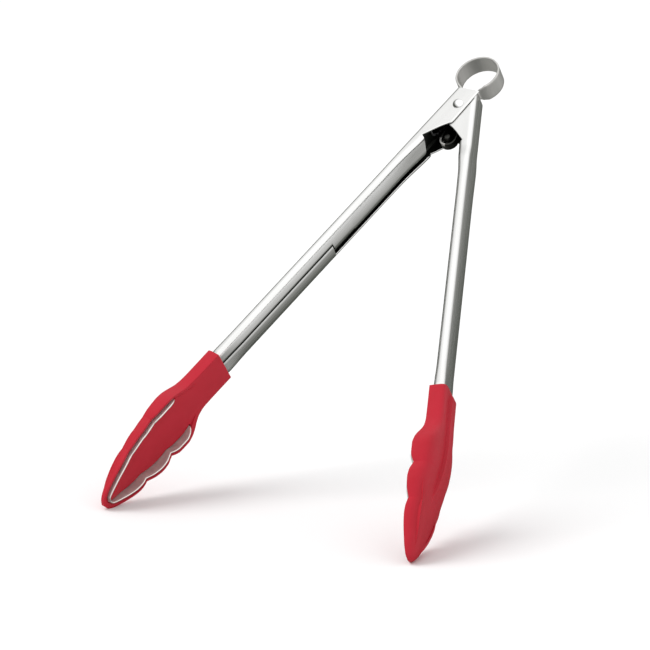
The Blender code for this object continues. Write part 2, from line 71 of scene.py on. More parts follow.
HEAD_PLAN = (
    (179.2, 8.70, 2.00, 2.00, 10.20, 7.0),
    (186.0, 8.70, 2.05, 2.05, 10.30, 6.5),
    (194.0, 8.75, 2.10, 2.10, 10.40, 6.0),
    (199.0, 9.00, 2.15, 2.15, 10.55, 5.5),
    (203.0, 9.80, 1.90, 2.20, 10.70, 5.0),
    (206.5, 11.40, 1.30, 2.25, 10.80, 4.6),
    (209.5, 13.10, 0.50, 2.35, 10.80, 4.3),
    (213.0, 14.60, -0.20, 2.50, 10.70, 4.0),
    (217.0, 15.30, -0.65, 2.65, 10.50, 3.8),
    (222.0, 15.25, -0.60, 2.80, 10.10, 3.6),
    (225.2, 14.70, 0.10, 2.85, 9.75, 3.4),
    (226.7, 14.20, 0.70, 2.90, 9.40, 3.4),
    (228.4, 14.40, 0.10, 2.90, 9.15, 3.3),
    (231.0, 14.80, -0.80, 2.90, 8.70, 3.2),
    (235.0, 14.75, -1.30, 2.90, 7.95, 3.1),
    (239.5, 13.90, -1.25, 2.80, 7.15, 3.0),
    (242.7, 12.80, -0.90, 2.65, 6.60, 2.9),
    (244.6, 12.10, -0.55, 2.55, 6.25, 2.9),
    (246.4, 12.10, -1.15, 2.40, 5.95, 2.8),
    (249.5, 11.70, -1.90, 2.10, 5.45, 2.7),
    (253.0, 10.85, -2.30, 1.70, 4.90, 2.6),
    (257.5, 9.30, -2.45, 1.10, 4.10, 2.5),
    (262.0, 7.45, -2.45, 0.40, 3.20, 2.4),
    (265.0, 6.00, -2.45, -0.30, 2.40, 2.3),
    (267.3, 4.55, -2.40, -0.90, 1.50, 2.2),
    (269.0, 2.95, -2.35, -1.40, 0.50, 2.2),
    (270.0, 0.00, -2.30, -1.60, -0.30, 2.2),
)
CORE_PLAN = (
    (210.2, 10.60, 1.90, 6.40),
    (211.4, 11.20, 0.60, 6.40),
    (213.2, 11.95, -0.60, 6.40),
    (216.5, 12.60, -1.45, 6.40),
    (221.5, 12.60, -1.50, 6.35),
    (225.0, 12.15, -0.85, 6.25),
    (226.7, 11.60, -0.20, 6.20),
    (228.4, 11.80, -0.80, 6.10),
    (231.0, 12.20, -1.70, 6.00),
    (235.0, 12.15, -2.20, 5.60),
    (239.5, 11.30, -2.15, 5.10),
    (242.7, 10.20, -1.80, 4.70),
    (244.6, 9.50, -1.45, 4.50),
    (246.4, 9.50, -2.05, 4.20),
    (249.5, 9.10, -2.80, 3.80),
    (253.0, 8.20, -3.20, 3.20),
    (257.5, 6.60, -3.30, 2.20),
    (261.0, 5.30, -3.30, 1.20),
    (263.5, 4.10, -3.30, 0.40),
    (265.2, 2.80, -3.25, -0.20),
    (266.2, 1.50, -3.20, -0.60),
)
NOTCHES = (226.7, 244.6)
MOUTH_U = 179.2
SLOT_START = 209.9
RIB_START = 181.2
RIB_END = 246.3
RIB_HALF = 3.2
RIB_RISE = 1.6
SLOT_GAP = 0.28

RING_R = 10.85
RING_Z = 23.6
STRAP_T = 1.0
RING_HALF = 4.8
STEM_HALF = 2.0
STEM_X = 3.9
STEM_LOW = -18.0


# ---------------------------------------------------------------- frames and tools

low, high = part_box("hinge_bush")
STANCE = Matrix.Translation((Vector(low) + Vector(high)) / 2) @ Matrix.Rotation(-LEAN, 4, "X")
PLACE = {
    "left": STANCE @ Matrix.Rotation(OPEN_HALF, 4, "Y"),
    "right": STANCE @ Matrix.Rotation(-OPEN_HALF, 4, "Y"),
    "middle": STANCE,
}
BODY = {"left": "left_side", "right": "right_side"}


def smooth(t):
    t = min(1.0, max(0.0, t))
    return t * t * (3.0 - 2.0 * t)


def linear(rows, u, column=1):
    if u <= rows[0][0]:
        return rows[0][column]
    for a, b in zip(rows, rows[1:]):
        if u <= b[0]:
            return a[column] + (b[column] - a[column]) * (u - a[0]) / (b[0] - a[0])
    return rows[-1][column]


def slope_at(rows, i, column):
    """Slope of a smooth curve through the rows at row i."""
    if i == 0 or i == len(rows) - 1:
        j = 0 if i == 0 else i - 1
        return (rows[j + 1][column] - rows[j][column]) / (rows[j + 1][0] - rows[j][0])
    before = (rows[i][column] - rows[i - 1][column]) / (rows[i][0] - rows[i - 1][0])
    after = (rows[i + 1][column] - rows[i][column]) / (rows[i + 1][0] - rows[i][0])
    if before * after <= 0.0:
        return 0.0
    return 2.0 * before * after / (before + after)


def curve(rows, u, column):
    """Smooth value between the rows, with a corner kept at each notch."""
    pieces = []
    start = 0
    for i, row in enumerate(rows):
        if row[0] in NOTCHES:
            pieces.append(rows[start:i + 1])
            start = i
    pieces.append(rows[start:])
    for part in pieces:
        if u <= part[-1][0] or part is pieces[-1]:
            break
    u = min(max(u, part[0][0]), part[-1][0])
    for i in range(len(part) - 1):
        if u <= part[i + 1][0]:
            break
    span = part[i + 1][0] - part[i][0]
    t = (u - part[i][0]) / span
    a, b = part[i][column], part[i + 1][column]
    m = slope_at(part, i, column) * span
    n = slope_at(part, i + 1, column) * span
    return (
        a * (2 * t ** 3 - 3 * t ** 2 + 1)
        + m * (t ** 3 - 2 * t ** 2 + t)
        + b * (3 * t ** 2 - 2 * t ** 3)
        + n * (t ** 3 - t ** 2)
    )


def arm_local(w, v, u):
    """Arm coordinates to the arm frame's own axes."""
    return (-v, -w, -u)


def bridge(shape, low_ring, high_ring, closed=True, index=0):
    """Quads between two rings of vertices, each face given a material index."""
    count = len(low_ring)
    made = []
    for i in range(count if closed else count - 1):
        j = (i + 1) % count
        corners = []
        for vert in (low_ring[i], low_ring[j], high_ring[j], high_ring[i]):
            if vert not in corners:
                corners.append(vert)
        if len(corners) > 2:
            face = shape.faces.new(corners)
            face.material_index = index
            made.append(face)
    return made


def add_ring(shape, points):
    return [shape.verts.new(Vector(p) * MM) for p in points]


def add_piece(name, shape, side, nodes, looks, sharp=38.0, body=None):
    """Closes the mesh work and puts the piece on its body in place of its CAD nodes."""
    bmesh.ops.remove_doubles(shape, verts=shape.verts, dist=2e-6)
    bmesh.ops.dissolve_degenerate(shape, edges=shape.edges, dist=1e-7)
    if side == "right":
        for vert in shape.verts:
            vert.co.x = -vert.co.x
    bmesh.ops.transform(shape, matrix=PLACE[side], verts=shape.verts)
    bmesh.ops.recalc_face_normals(shape, faces=shape.faces)
    for face in shape.faces:
        face.smooth = True
    for edge in shape.edges:
        if len(edge.link_faces) == 2:
            edge.smooth = edge.calc_face_angle() < math.radians(sharp)
    mesh = bpy.data.meshes.new(name)
    shape.to_mesh(mesh)
    shape.free()
    made = bpy.data.objects.new(name, mesh)
    bpy.context.scene.collection.objects.link(made)
    for look in looks:
        mesh.materials.append(look)
    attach(made, body or BODY[side])
    if nodes:
        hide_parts(*nodes)
    return made


# ---------------------------------------------------------------- materials


def new_material(name):
    made = bpy.data.materials.new(name)
    made.use_nodes = True
    return made, made.node_tree.nodes, made.node_tree.links


def noise(nodes, links, scale, detail=3.0, rough=0.5, side="middle"):
    """Noise turned into the side's own axes, stretched by the scale on each of them."""
    where = nodes.new("ShaderNodeTexCoord")
    place = nodes.new("ShaderNodeMapping")
    place.vector_type = "TEXTURE"
    place.inputs["Location"].default_value = PLACE[side].to_translation()
    place.inputs["Rotation"].default_value = PLACE[side].to_euler()
    place.inputs["Scale"].default_value = [1.0 / size for size in scale]
    made = nodes.new("ShaderNodeTexNoise")
    made.inputs["Scale"].default_value = 1.0
    made.inputs["Detail"].default_value = detail
    made.inputs["Roughness"].default_value = rough
    links.new(where.outputs["Object"], place.inputs["Vector"])
    links.new(place.outputs["Vector"], made.inputs["Vector"])
    return made.outputs["Fac"]


def ramp(nodes, links, source, stops):
    made = nodes.new("ShaderNodeValToRGB")
    bar = made.color_ramp
    while len(bar.elements) < len(stops):
        bar.elements.new(0.5)
    for element, (place, colour) in zip(bar.elements, stops):
        element.position = place
        element.color = (*colour, 1.0)
    links.new(source, made.inputs["Fac"])
    return made.outputs["Color"]


def spread(nodes, links, source, low_value, high_value):
    made = nodes.new("ShaderNodeMapRange")
    made.inputs["From Min"].default_value = 0.3
    made.inputs["From Max"].default_value = 0.7
    made.inputs["To Min"].default_value = low_value
    made.inputs["To Max"].default_value = high_value
    links.new(source, made.inputs["Value"])
    return made.outputs["Result"]


def bump(nodes, links, source, shader, strength, distance):
    made = nodes.new("ShaderNodeBump")
    made.inputs["Strength"].default_value = strength
    made.inputs["Distance"].default_value = distance
    links.new(source, made.inputs["Height"])
    links.new(made.outputs["Normal"], shader.inputs["Normal"])


def steel(
    name, dark, light, rough, grain, blotch=(60.0, 60.0, 14.0), depth=0.10, side="middle", metal=1.0
):
    """Brushed stainless: fine grain along one axis over broad soft tone changes."""
    made, nodes, links = new_material(name)
    shader = nodes["Principled BSDF"]
    shader.inputs["Metallic"].default_value = metal
    broad = noise(nodes, links, blotch, 2.0, 0.5, side)
    lines = noise(nodes, links, grain, 4.0, 0.6, side)
    links.new(ramp(nodes, links, broad, ((0.3, dark), (0.7, light))), shader.inputs["Base Color"])
    links.new(spread(nodes, links, lines, rough[0], rough[1]), shader.inputs["Roughness"])
    bump(nodes, links, lines, shader, depth, 0.00004)
    return made


def silicone(name):
    """Satin moulded silicone: faint mottling and a fine matt grain."""
    made, nodes, links = new_material(name)
    shader = nodes["Principled BSDF"]
    broad = noise(nodes, links, (90.0, 90.0, 50.0), 3.0)
    grain = noise(nodes, links, (2600.0, 2600.0, 2600.0), 2.0)
    tone = ramp(nodes, links, broad, ((0.25, (0.44, 0.011, 0.024)), (0.75, (0.49, 0.014, 0.031))))
    links.new(tone, shader.inputs["Base Color"])
    links.new(spread(nodes, links, grain, 0.40, 0.52), shader.inputs["Roughness"])
    shader.inputs["IOR"].default_value = 1.42
    shader.inputs["Specular IOR Level"].default_value = 0.3
    bump(nodes, links, grain, shader, 0.12, 0.00003)
    return made


ALONG = (2200.0, 2200.0, 22.0)
arm_steel = {}
channel_shade_steel = {}
for side in ("left", "right"):
    arm_steel[side] = steel(
        "brushed_arm_steel_" + side, (0.66, 0.66, 0.65), (0.74, 0.74, 0.73), (0.2, 0.3), ALONG,
        side=side,
    )
    # Painted shade: a near-black copy of the arm steel for the channel's inner faces, standing in
    # for the shadow inside the channel.
    channel_shade_steel[side] = steel(
        "shaded_channel_steel_" + side, (0.035, 0.037, 0.033), (0.06, 0.063, 0.056), (0.3, 0.45),
        ALONG, side=side,
    )
strip_steel = steel(
    "rolled_strip_steel", (0.44, 0.44, 0.42), (0.56, 0.55, 0.53), (0.3, 0.4),
    (900.0, 30.0, 900.0), (160.0, 20.0, 160.0), metal=0.65,
)
scoop_face = steel(
    "scoop_sheet_steel", (0.50, 0.47, 0.45), (0.62, 0.59, 0.56), (0.45, 0.6),
    (1500.0, 1500.0, 1500.0), (300.0, 300.0, 300.0), 0.15, metal=0.6,
)
# Scoop top edge: the lower roughness is a polish, and the lighter colour than the sheet is a painted
# highlight along the rim.
scoop_edge = steel(
    "scoop_polished_edge_painted_highlight", (0.72, 0.67, 0.64), (0.80, 0.75, 0.72), (0.3, 0.4),
    (900.0, 900.0, 900.0), (200.0, 200.0, 200.0), 0.05,
)
rivet_chrome = steel(
    "polished_dome", (0.80, 0.80, 0.80), (0.86, 0.86, 0.86), (0.04, 0.07),
    (300.0, 300.0, 300.0), (200.0, 200.0, 200.0), 0.02,
)
turned_steel = steel(
    "turned_steel", (0.30, 0.30, 0.30), (0.40, 0.40, 0.40), (0.25, 0.35),
    (400.0, 3000.0, 400.0), (200.0, 200.0, 200.0),
)
spring_steel = steel(
    "spring_wire_steel", (0.30, 0.30, 0.31), (0.40, 0.40, 0.42), (0.25, 0.35),
    (500.0, 500.0, 500.0), (200.0, 200.0, 200.0),
)
# Painted shade: a near-black copy of the strip steel for the strap and pin parts inside the hinge,
# standing in for the shadow there.
strap_shade_steel = steel(
    "shaded_strip_steel", (0.035, 0.035, 0.033), (0.06, 0.06, 0.056), (0.35, 0.5),
    (900.0, 30.0, 900.0), (160.0, 20.0, 160.0),
)
stud_steel = steel(
    "stud_steel", (0.45, 0.45, 0.45), (0.55, 0.55, 0.55), (0.3, 0.4),
    (600.0, 600.0, 600.0), (200.0, 200.0, 200.0),
)
red_silicone = silicone("red_silicone")


# ---------------------------------------------------------------- arms


def ear_edge(u):
    rows = (
        (-12.0, -4.4), (0.0, -4.8), (9.6, -5.1), (11.0, -4.9), (12.6, -3.7),
        (15.0, -1.8), (18.0, 0.2), (21.0, 1.9), (23.5, 3.4),
    )
    return linear(rows, u)


def arm_inner(u):
    return ARM_IN - 1.2 * smooth((46.0 - u) / 22.0)


def lip_end(u, front):
    """How far each lip reaches, on its own side of the middle."""
    if front:
        if u < 82.0:
            return -2.6
        return -2.0 if u < 97.0 else 1.5
    return 5.4 if u < 97.6 else -1.0


def crown(w, v, u, half):
    """Level after the folded faces are bowed a little across their width."""
    amount = smooth((u - 30.0) / 30.0) * smooth((177.0 - u) / 12.0)
    across = min(1.0, abs(w) / half) ** 2
    if v < ARM_MIDDLE:
        share = min(1.0, (ARM_MIDDLE - v) / (ARM_MIDDLE - ARM_IN))
        return v + amount * (0.95 * across - 0.3) * share
    return v - amount * 0.4 * across * (v - ARM_MIDDLE) / (ARM_OUT - ARM_MIDDLE)


def swage(u):
    """The tube is drawn in a little where the silicone sleeve covers it."""
    return 1.0 - SWAGE_SHARE * smooth((u - MOUTH_U + SWAGE_LEAD) / 1.0)


def sheet_point(s, u, half, ear):
    """Outer face point and outward direction at distance s from the back's middle."""
    flat = half - ARM_ROUND
    turn = 0.5 * math.pi * ARM_ROUND
    inner = arm_inner(u)
    wall = ARM_OUT - inner - 2.0 * ARM_ROUND
    if s <= flat:
        return (s, ARM_OUT), (0.0, 1.0)
    if s <= flat + turn:
        angle = (s - flat) / ARM_ROUND
        way = (math.sin(angle), math.cos(angle))
        return (flat + ARM_ROUND * way[0], ARM_OUT - ARM_ROUND + ARM_ROUND * way[1]), way
    below = s - flat - turn
    if ear or below <= wall:
        return (half, ARM_OUT - ARM_ROUND - below), (1.0, 0.0)
    if below <= wall + turn:
        angle = (below - wall) / ARM_ROUND
        way = (math.cos(angle), -math.sin(angle))
        return (flat + ARM_ROUND * way[0], inner + ARM_ROUND + ARM_ROUND * way[1]), way
    return (flat - (below - wall - turn), inner), (0.0, -1.0)


def sheet_side(u, half, front):
    """Outside and inside points of one side, with a rounded sheet edge at its end."""
    flat = half - ARM_ROUND
    turn = 0.5 * math.pi * ARM_ROUND
    wall = ARM_OUT - arm_inner(u) - 2.0 * ARM_ROUND
    ear = u < EAR_END
    if ear:
        stop = flat + turn + (ARM_OUT - ARM_ROUND - ear_edge(u))
    else:
        full = flat + turn + wall + turn + (flat - lip_end(u, front))
        grow = smooth((u - LIP_GROWS) / (4.5 if front else 3.0))
        stop = (flat + turn + wall) + (full - flat - turn - wall) * grow
    stop -= EDGE
    marks = [0.0, 0.5 * flat, flat] + [flat + turn * k / 8.0 for k in range(1, 9)]
    if ear:
        rest = stop - flat - turn
        marks += [flat + turn + rest * k / 13.0 for k in range(1, 14)]
    else:
        marks += [flat + turn + wall]
        marks += [flat + turn + wall + turn * k / 8.0 for k in range(1, 9)]
        lip = max(0.0, stop - flat - 2.0 * turn - wall)
        marks += [flat + 2.0 * turn + wall + lip * k / 4.0 for k in range(1, 5)]
    last = len(marks) - 1
    marks = [min(m, stop - 0.02 * (last - k)) for k, m in enumerate(marks)]
    outside, inside = [], []
    for s in marks:
        (w, v), way = sheet_point(s, u, half, ear)
        outside.append((w, v))
        inside.append((w - SHEET * way[0], v - SHEET * way[1]))
    (w, v), way = sheet_point(stop, u, half, ear)
    along = (way[1], -way[0])
    nose = []
    for degrees in (60.0, 30.0, 0.0, -30.0, -60.0):
        a = math.radians(degrees)
        side = 0.5 * SHEET * (math.sin(a) - 1.0)
        ahead = EDGE * math.cos(a)
        nose.append((w + side * way[0] + ahead * along[0], v + side * way[1] + ahead * along[1]))
    return outside, inside, nose


def arm_section(u, half):
    """One closed section: outside front to back, edge, inside back to front, edge."""
    out_f, in_f, nose_f = sheet_side(u, half, True)
    out_b, in_b, nose_b = sheet_side(u, half, False)
    out_b = [(-w, v) for w, v in out_b]
    in_b = [(-w, v) for w, v in in_b]
    nose_b = [(-w, v) for w, v in nose_b]
    outside = list(reversed(out_b)) + out_f[1:]
    inside = list(reversed(in_b)) + in_f[1:]
    return outside, nose_f, list(reversed(inside)), list(reversed(nose_b))


def arm(side, half_at, top):
    """The folded sheet; the rivets pass through it with no holes of their own."""
    marks = [-9.0, -8.8, -3.0, 0.0, 3.7, 7.0, 9.6, 10.2, 10.6, 11.0, 11.4, 11.8, 12.2]
    marks += [12.6, 13.2, 14.0, 15.0, 16.0, 17.0, 18.0, 19.0, 20.0, 21.0, 22.0, 23.0, 23.5]
    marks += [24.0, 24.4, 24.8, 25.2, 25.6, 26.0, 26.4, 26.8, 27.2, 27.6, 28.0, 28.6, 30.0]
    marks += [32.0, 34.0, 36.0, 38.0, 40.0, 43.0, 46.0, 50.0, 55.0, 60.0, 75.0, 81.9, 82.1, 90.0]
    marks += [96.6, 96.95, 97.05, 97.55, 97.65, 98.2, 105.0, 120.0, 140.0, 160.0, 165.0, 169.0]
    marks += [173.0, 177.0, 177.8, 178.3, 178.8, 190.0, ARM_END]
    shape = bmesh.new()
    rings = []
    for index, u in enumerate(marks):
        outside, nose_f, inside, nose_b = arm_section(u, half_at(u))
        points = outside + nose_f + inside + nose_b
        count = len(outside)
        if index == 0 or index == len(marks) - 1:
            eased = []
            for i, (w, v) in enumerate(points):
                if i < count:
                    other = inside[count - 1 - i]
                elif count + 5 <= i < 2 * count + 5:
                    other = outside[count - 1 - (i - count - 5)]
                else:
                    other = (w, v)
                eased.append((w + END_EASE * (other[0] - w), v + END_EASE * (other[1] - v)))
            points = eased
        ring = []
        for w, v in points:
            along = u
            if index < 2:
                along = top(v) + 0.2 * index
                if side == "left" and w < 0.0:
                    # The rear ear of the left arm has its top corner cut back.
                    along += REAR_EAR_CUT * smooth((3.0 - v) / 5.0)
            size = swage(u)
            v = ARM_MIDDLE + size * (crown(w, v, u, half_at(u)) - ARM_MIDDLE)
            ring.append(arm_local(size * w, v, along))
        rings.append(add_ring(shape, ring))
    total = len(rings[0])
    for u, a, b in zip(marks, rings, rings[1:]):
        faces = bridge(shape, a, b)
        # Painted shade: the inner faces, and the sheet edges below the step, take the near-black
        # channel steel in place of the shade inside the channel.
        for i, face in enumerate(faces):
            inner = count + 5 <= i < 2 * count + 4
            nose = u > 97.5 and (count - 1 <= i or i >= 2 * count + 4)
            face.material_index = 1 if inner or nose else 0
    for ring in (rings[0], rings[-1]):
        for i in range(count - 1):
            j = 2 * count + 4 - i
            shape.faces.new((ring[i], ring[i + 1], ring[j - 1], ring[j]))
        shape.faces.new([ring[count - 1]] + ring[count:count + 5] + [ring[count + 5]])
        shape.faces.new([ring[total - 6]] + ring[total - 5:] + [ring[0]])
    nodes = ["arm_" + side]
    looks = [arm_steel[side], channel_shade_steel[side]]
    return add_piece("sheet_arm_" + side, shape, side, nodes, looks)


# ---------------------------------------------------------------- heads


def rib_rise(u, w):
    rise = smooth((u - RIB_START) / 1.6)
    fade = smooth((RIB_END - u) / 20.0)
    return RIB_RISE * rise * fade * smooth((RIB_HALF - abs(w)) / 0.7)


def head_values(u):
    return [curve(HEAD_PLAN, u, column) for column in range(1, 6)]


def head_marks():
    marks = [179.5, 180.2]
    u = 181.0
    while u < 262.0:
        marks.append(u)
        u += 0.8
    for k in range(1, 25):
        marks.append(262.0 + 8.0 * math.sin(0.5 * math.pi * k / 25.0))
    marks += [181.4, 182.2, 182.6, SLOT_START - 0.03, SLOT_START, 269.99]
    marks += [n + d for n in NOTCHES for d in (-0.5, -0.2, 0.0, 0.2, 0.5)]
    return sorted(marks)


def middle_of(u):
    """Where a section that starts at the outline at u reaches the middle line."""
    return u if u <= 246.0 else 246.0 + 0.62 * (u - 246.0)


def plan_point(u, d):
    """Point a distance d in from the red outline, on the line toward the middle."""
    width = curve(HEAD_PLAN, u, 1)
    way = Vector((middle_of(u) - u, -width))
    reach = way.length
    way.normalize()
    return Vector((u, width)) + way * min(d, 0.97 * reach), reach


def slot_depths(u):
    """Distances in from the outline: lip edge, slot outer wall, steel, island edge."""
    tip = smooth((u - 256.0) / 13.0)
    steel_out = 2.6 + 0.5 * tip
    return 0.9 + 0.5 * tip, steel_out - SLOT_GAP, steel_out, steel_out + SHEET + SLOT_GAP


def head_half(u):
    """Half section from the floor's middle round to the back's middle."""
    width, rim, floor, back, power = head_values(u)
    lip, slot_out, _, island = slot_depths(u)
    opened = u >= SLOT_START
    deep = floor + 2.9 if opened else floor
    chamfer = 0.5 * (rim + 2.6) if u < 256.0 else 0.5 * (rim + floor)
    chamfer = max(chamfer, rim + 0.05)
    if not opened:
        blend = smooth((u - 194.0) / 12.0)
        lip = 0.9 + 0.1 * blend
        chamfer = floor + (chamfer - floor) * blend
    rows = []
    _, reach = plan_point(u, 0.0)
    rows.append((reach, floor))
    rows.append((island + 0.55 * (reach - island), floor))
    rows.append((island + 0.30, floor))
    rows.append((island + 0.08, floor + (0.06 if opened else 0.0)))
    rows.append((island, floor + (0.28 if opened else 0.0)))
    rows.append((island, deep))
    rows.append((slot_out, deep))
    rows.append((slot_out, chamfer + 0.15 if opened else chamfer))
    rows.append((slot_out - 0.12, chamfer))
    rows.append((lip + 0.2, rim + 0.12 * (chamfer - rim)))
    rows.append((lip, rim))
    rows.append((0.62 * lip + 0.1, rim))
    rows.append((0.34, rim + 0.01))
    rows.append((0.14, rim + 0.07))
    rows.append((0.03, rim + 0.2))
    points = []
    for d, v in rows:
        if d >= reach:
            place = Vector((middle_of(u), 0.0))
        else:
            place, _ = plan_point(u, d)
        points.append((place.y, v, place.x))
    side = rim + 0.4
    depth = max(back - side, 0.3)
    inner = min(4.0, 0.45 * width) if width > 0.05 else 0.0
    cosine = min(0.999, (inner / width) ** (0.5 * power)) if width > 0.05 else 0.5
    last = math.acos(cosine)
    shares = []
    for k in range(0, 17):
        shares.append(math.cos(last * (k / 16.0)) ** (2.0 / power))
    tail = inner / width if width > 0.05 else 0.3
    shares += [tail * x for x in (0.9, 0.83, 0.78, 0.73, 0.66, 0.55, 0.3, 0.0)]
    for share in shares:
        place_u = middle_of(u) + (u - middle_of(u)) * share
        place_w = width * share
        _, rim_here, _, back_here, power_here = head_values(place_u)
        local = curve(HEAD_PLAN, place_u, 1)
        across = min(1.0, place_w / local) if local > 1e-6 else 0.0
        height = max(0.0, 1.0 - across ** power_here) ** (1.0 / power_here)
        if u <= 246.0:
            v = side + depth * height
        else:
            base = rim_here + 0.4
            v = base + max(back_here - base, 0.0) * height
        v += rib_rise(place_u, place_w) * smooth((v - 5.0) / 3.0)
        points.append((place_w, v, place_u))
    return points


def bore_point(w, v):
    """Point of the sleeve's bore in the same direction from the arm's centre."""
    half, deep = ARM_HALF + 0.25, 0.5 * (ARM_OUT - ARM_IN) + 0.25
    a, b = w / half, (v - ARM_MIDDLE) / deep
    size = (abs(a) ** 5.0 + abs(b) ** 5.0) ** 0.2
    return w / size, ARM_MIDDLE + (v - ARM_MIDDLE) / size


def head(side):
    """The silicone head: bored for the arm, and solid round the scoop's hidden part."""
    shape = bmesh.new()
    marks = head_marks()
    halves = [head_half(u) for u in marks]
    full = []
    for half in halves:
        mirrored = [(-w, v, u) for w, v, u in reversed(half[1:-1])]
        full.append(half + mirrored)
    first = full[0]
    bore = [bore_point(w, v) for w, v, u in first]
    mouth = []
    for share, u in ((0.0, 206.0), (0.0, 179.7), (0.08, 179.35), (0.25, 179.2), (0.75, 179.2)):
        ring = []
        for (w, v, _), (bw, bv) in zip(first, bore):
            ring.append((bw + (w - bw) * share, bv + (v - bv) * share, u))
        mouth.append(ring)
    lead = [(w * 0.985, 6.0 + (v - 6.0) * 0.985, 179.28) for w, v, _ in first]
    rings = [add_ring(shape, [arm_local(*p) for p in ring]) for ring in mouth + [lead] + full]
    for a, b in zip(rings, rings[1:]):
        bridge(shape, a, b)
    count = len(first)
    top = len(halves[0])
    start = rings[0]
    for ring in (start, rings[-1]):
        for i in range(top - 1):
            a, b = ring[i], ring[i + 1]
            c, d = ring[(count - i - 1) % count], ring[(count - i) % count]
            corners = []
            for vert in (a, b, c, d):
                if vert not in corners:
                    corners.append(vert)
            if len(corners) > 2:
                shape.faces.new(corners)
    nodes = ["grip_" + side]
    return add_piece("silicone_head_" + side, shape, side, nodes, [red_silicone], 30.0)


def scoop_level(u):
    """Height of the steel edge: it dips into the slot at its upper end."""
    return curve(CORE_PLAN, u, 2)


def scoop(side):
    """The part of the scoop that shows: an upright ribbon from slot end round to slot end.

    The tray floor and the tang are hidden in the head, and only the CAD has them.
    """
    marks = [u for u in head_marks() if u >= 210.1]
    path = []
    for u in marks:
        _, _, d, _ = slot_depths(u)
        outer, _ = plan_point(u, d)
        inner, _ = plan_point(u, d + SHEET)
        path.append((outer, inner, scoop_level(outer.x), curve(HEAD_PLAN, u, 3)))
    path[-1][0].y = 0.0
    path[-1][1].y = 0.0
    other = []
    for outer, inner, level, floor in reversed(path[:-1]):
        other.append((Vector((outer.x, -outer.y)), Vector((inner.x, -inner.y)), level, floor))
    shape = bmesh.new()
    rings = []
    for outer, inner, level, floor in path + other:
        ring = []
        for share, drop in (
            (0.0, 99.0), (0.0, 1.2), (0.0, 0.32), (0.1, 0.11), (0.3, 0.0), (0.7, 0.0),
            (0.9, 0.11), (1.0, 0.32), (1.0, 1.2), (1.0, 99.0),
        ):
            place = outer + (inner - outer) * share
            v = floor + 2.6 if drop > 50.0 else level + drop
            ring.append(arm_local(place.y, min(v, floor + 2.6), place.x))
        rings.append(add_ring(shape, ring))
    for a, b in zip(rings, rings[1:]):
        for i, face in enumerate(bridge(shape, a, b)):
            # Top edge faces get the lighter edge steel, partly a polish and partly a painted
            # highlight along the rim.
            face.material_index = 1 if 2 <= i <= 6 else 0
    shape.faces.new(list(reversed(rings[0])))
    shape.faces.new(rings[-1])
    looks = [scoop_face, scoop_edge]
    return add_piece(
        "scoop_edge_" + side, shape, side, ["scoop_" + side], looks, 60.0
    )


# ---------------------------------------------------------------- hinge and ring


def revolve(shape, profile, sides=64, loop=False):
    """Round body about the hinge axis from (radius, y) points."""
    rings = []
    for radius, y in profile:
        ring = []
        for i in range(sides):
            a = 2.0 * math.pi * i / sides
            ring.append((radius * math.cos(a), y, radius * math.sin(a)))
        rings.append(add_ring(shape, ring))
    pairs = list(zip(rings, rings[1:]))
    if loop:
        pairs.append((rings[-1], rings[0]))
    for a, b in pairs:
        bridge(shape, a, b)
    if not loop:
        shape.faces.new(list(reversed(rings[0])))
        shape.faces.new(rings[-1])


def hinge_rivet():
    front = 7.75
    rear = 8.4
    profile = []
    ball, rise = 2.95, 1.95
    for k in range(15):
        a = math.asin(2.8 / ball) * k / 14.0
        profile.append((max(0.03, ball * math.sin(a)), -front - rise + ball * (1.0 - math.cos(a))))
    profile += [(2.8, -front - 0.02), (2.2, -front), (2.2, rear)]
    for k in range(14, -1, -1):
        a = 0.5 * math.pi * k / 14.0
        profile.append((max(0.03, 2.8 * math.sin(a)), rear + 1.36 * math.cos(a)))
    shape = bmesh.new()
    revolve(shape, profile)
    return add_piece(
        "dome_rivet", shape, "middle", ["hinge_rivet"], [rivet_chrome], 50.0,
        "left_side",
    )


def sleeve_piece(name, outer, inner, low_y, high_y, ease, node, look, body):
    profile = [
        (outer - ease, low_y), (outer, low_y + ease), (outer, high_y - ease), (outer - ease, high_y),
        (inner + ease, high_y), (inner, high_y - ease), (inner, low_y + ease), (inner + ease, low_y),
    ]
    shape = bmesh.new()
    revolve(shape, profile, 64, True)
    return add_piece(name, shape, "middle", [node], [look], 30.0, body)


def lock_pin():
    # Painted shade: the whole pin takes the near-black strip copy for the shadow inside the hinge.
    profile = [(0.9, -3.5), (1.35, -3.42), (1.6, -3.15), (1.6, 3.15), (1.35, 3.42), (0.9, 3.5)]
    shape = bmesh.new()
    rings = []
    for radius, y in profile:
        ring = []
        for i in range(40):
            a = 2.0 * math.pi * i / 40
            ring.append((radius * math.cos(a), y, STEM_LOW + radius * math.sin(a)))
        rings.append(add_ring(shape, ring))
    for a, b in zip(rings, rings[1:]):
        bridge(shape, a, b)
    shape.faces.new(list(reversed(rings[0])))
    shape.faces.new(rings[-1])
    return add_piece(
        "locking_pin", shape, "middle", ["lock_pin"], [strap_shade_steel], 50.0, "lock_strap"
    )


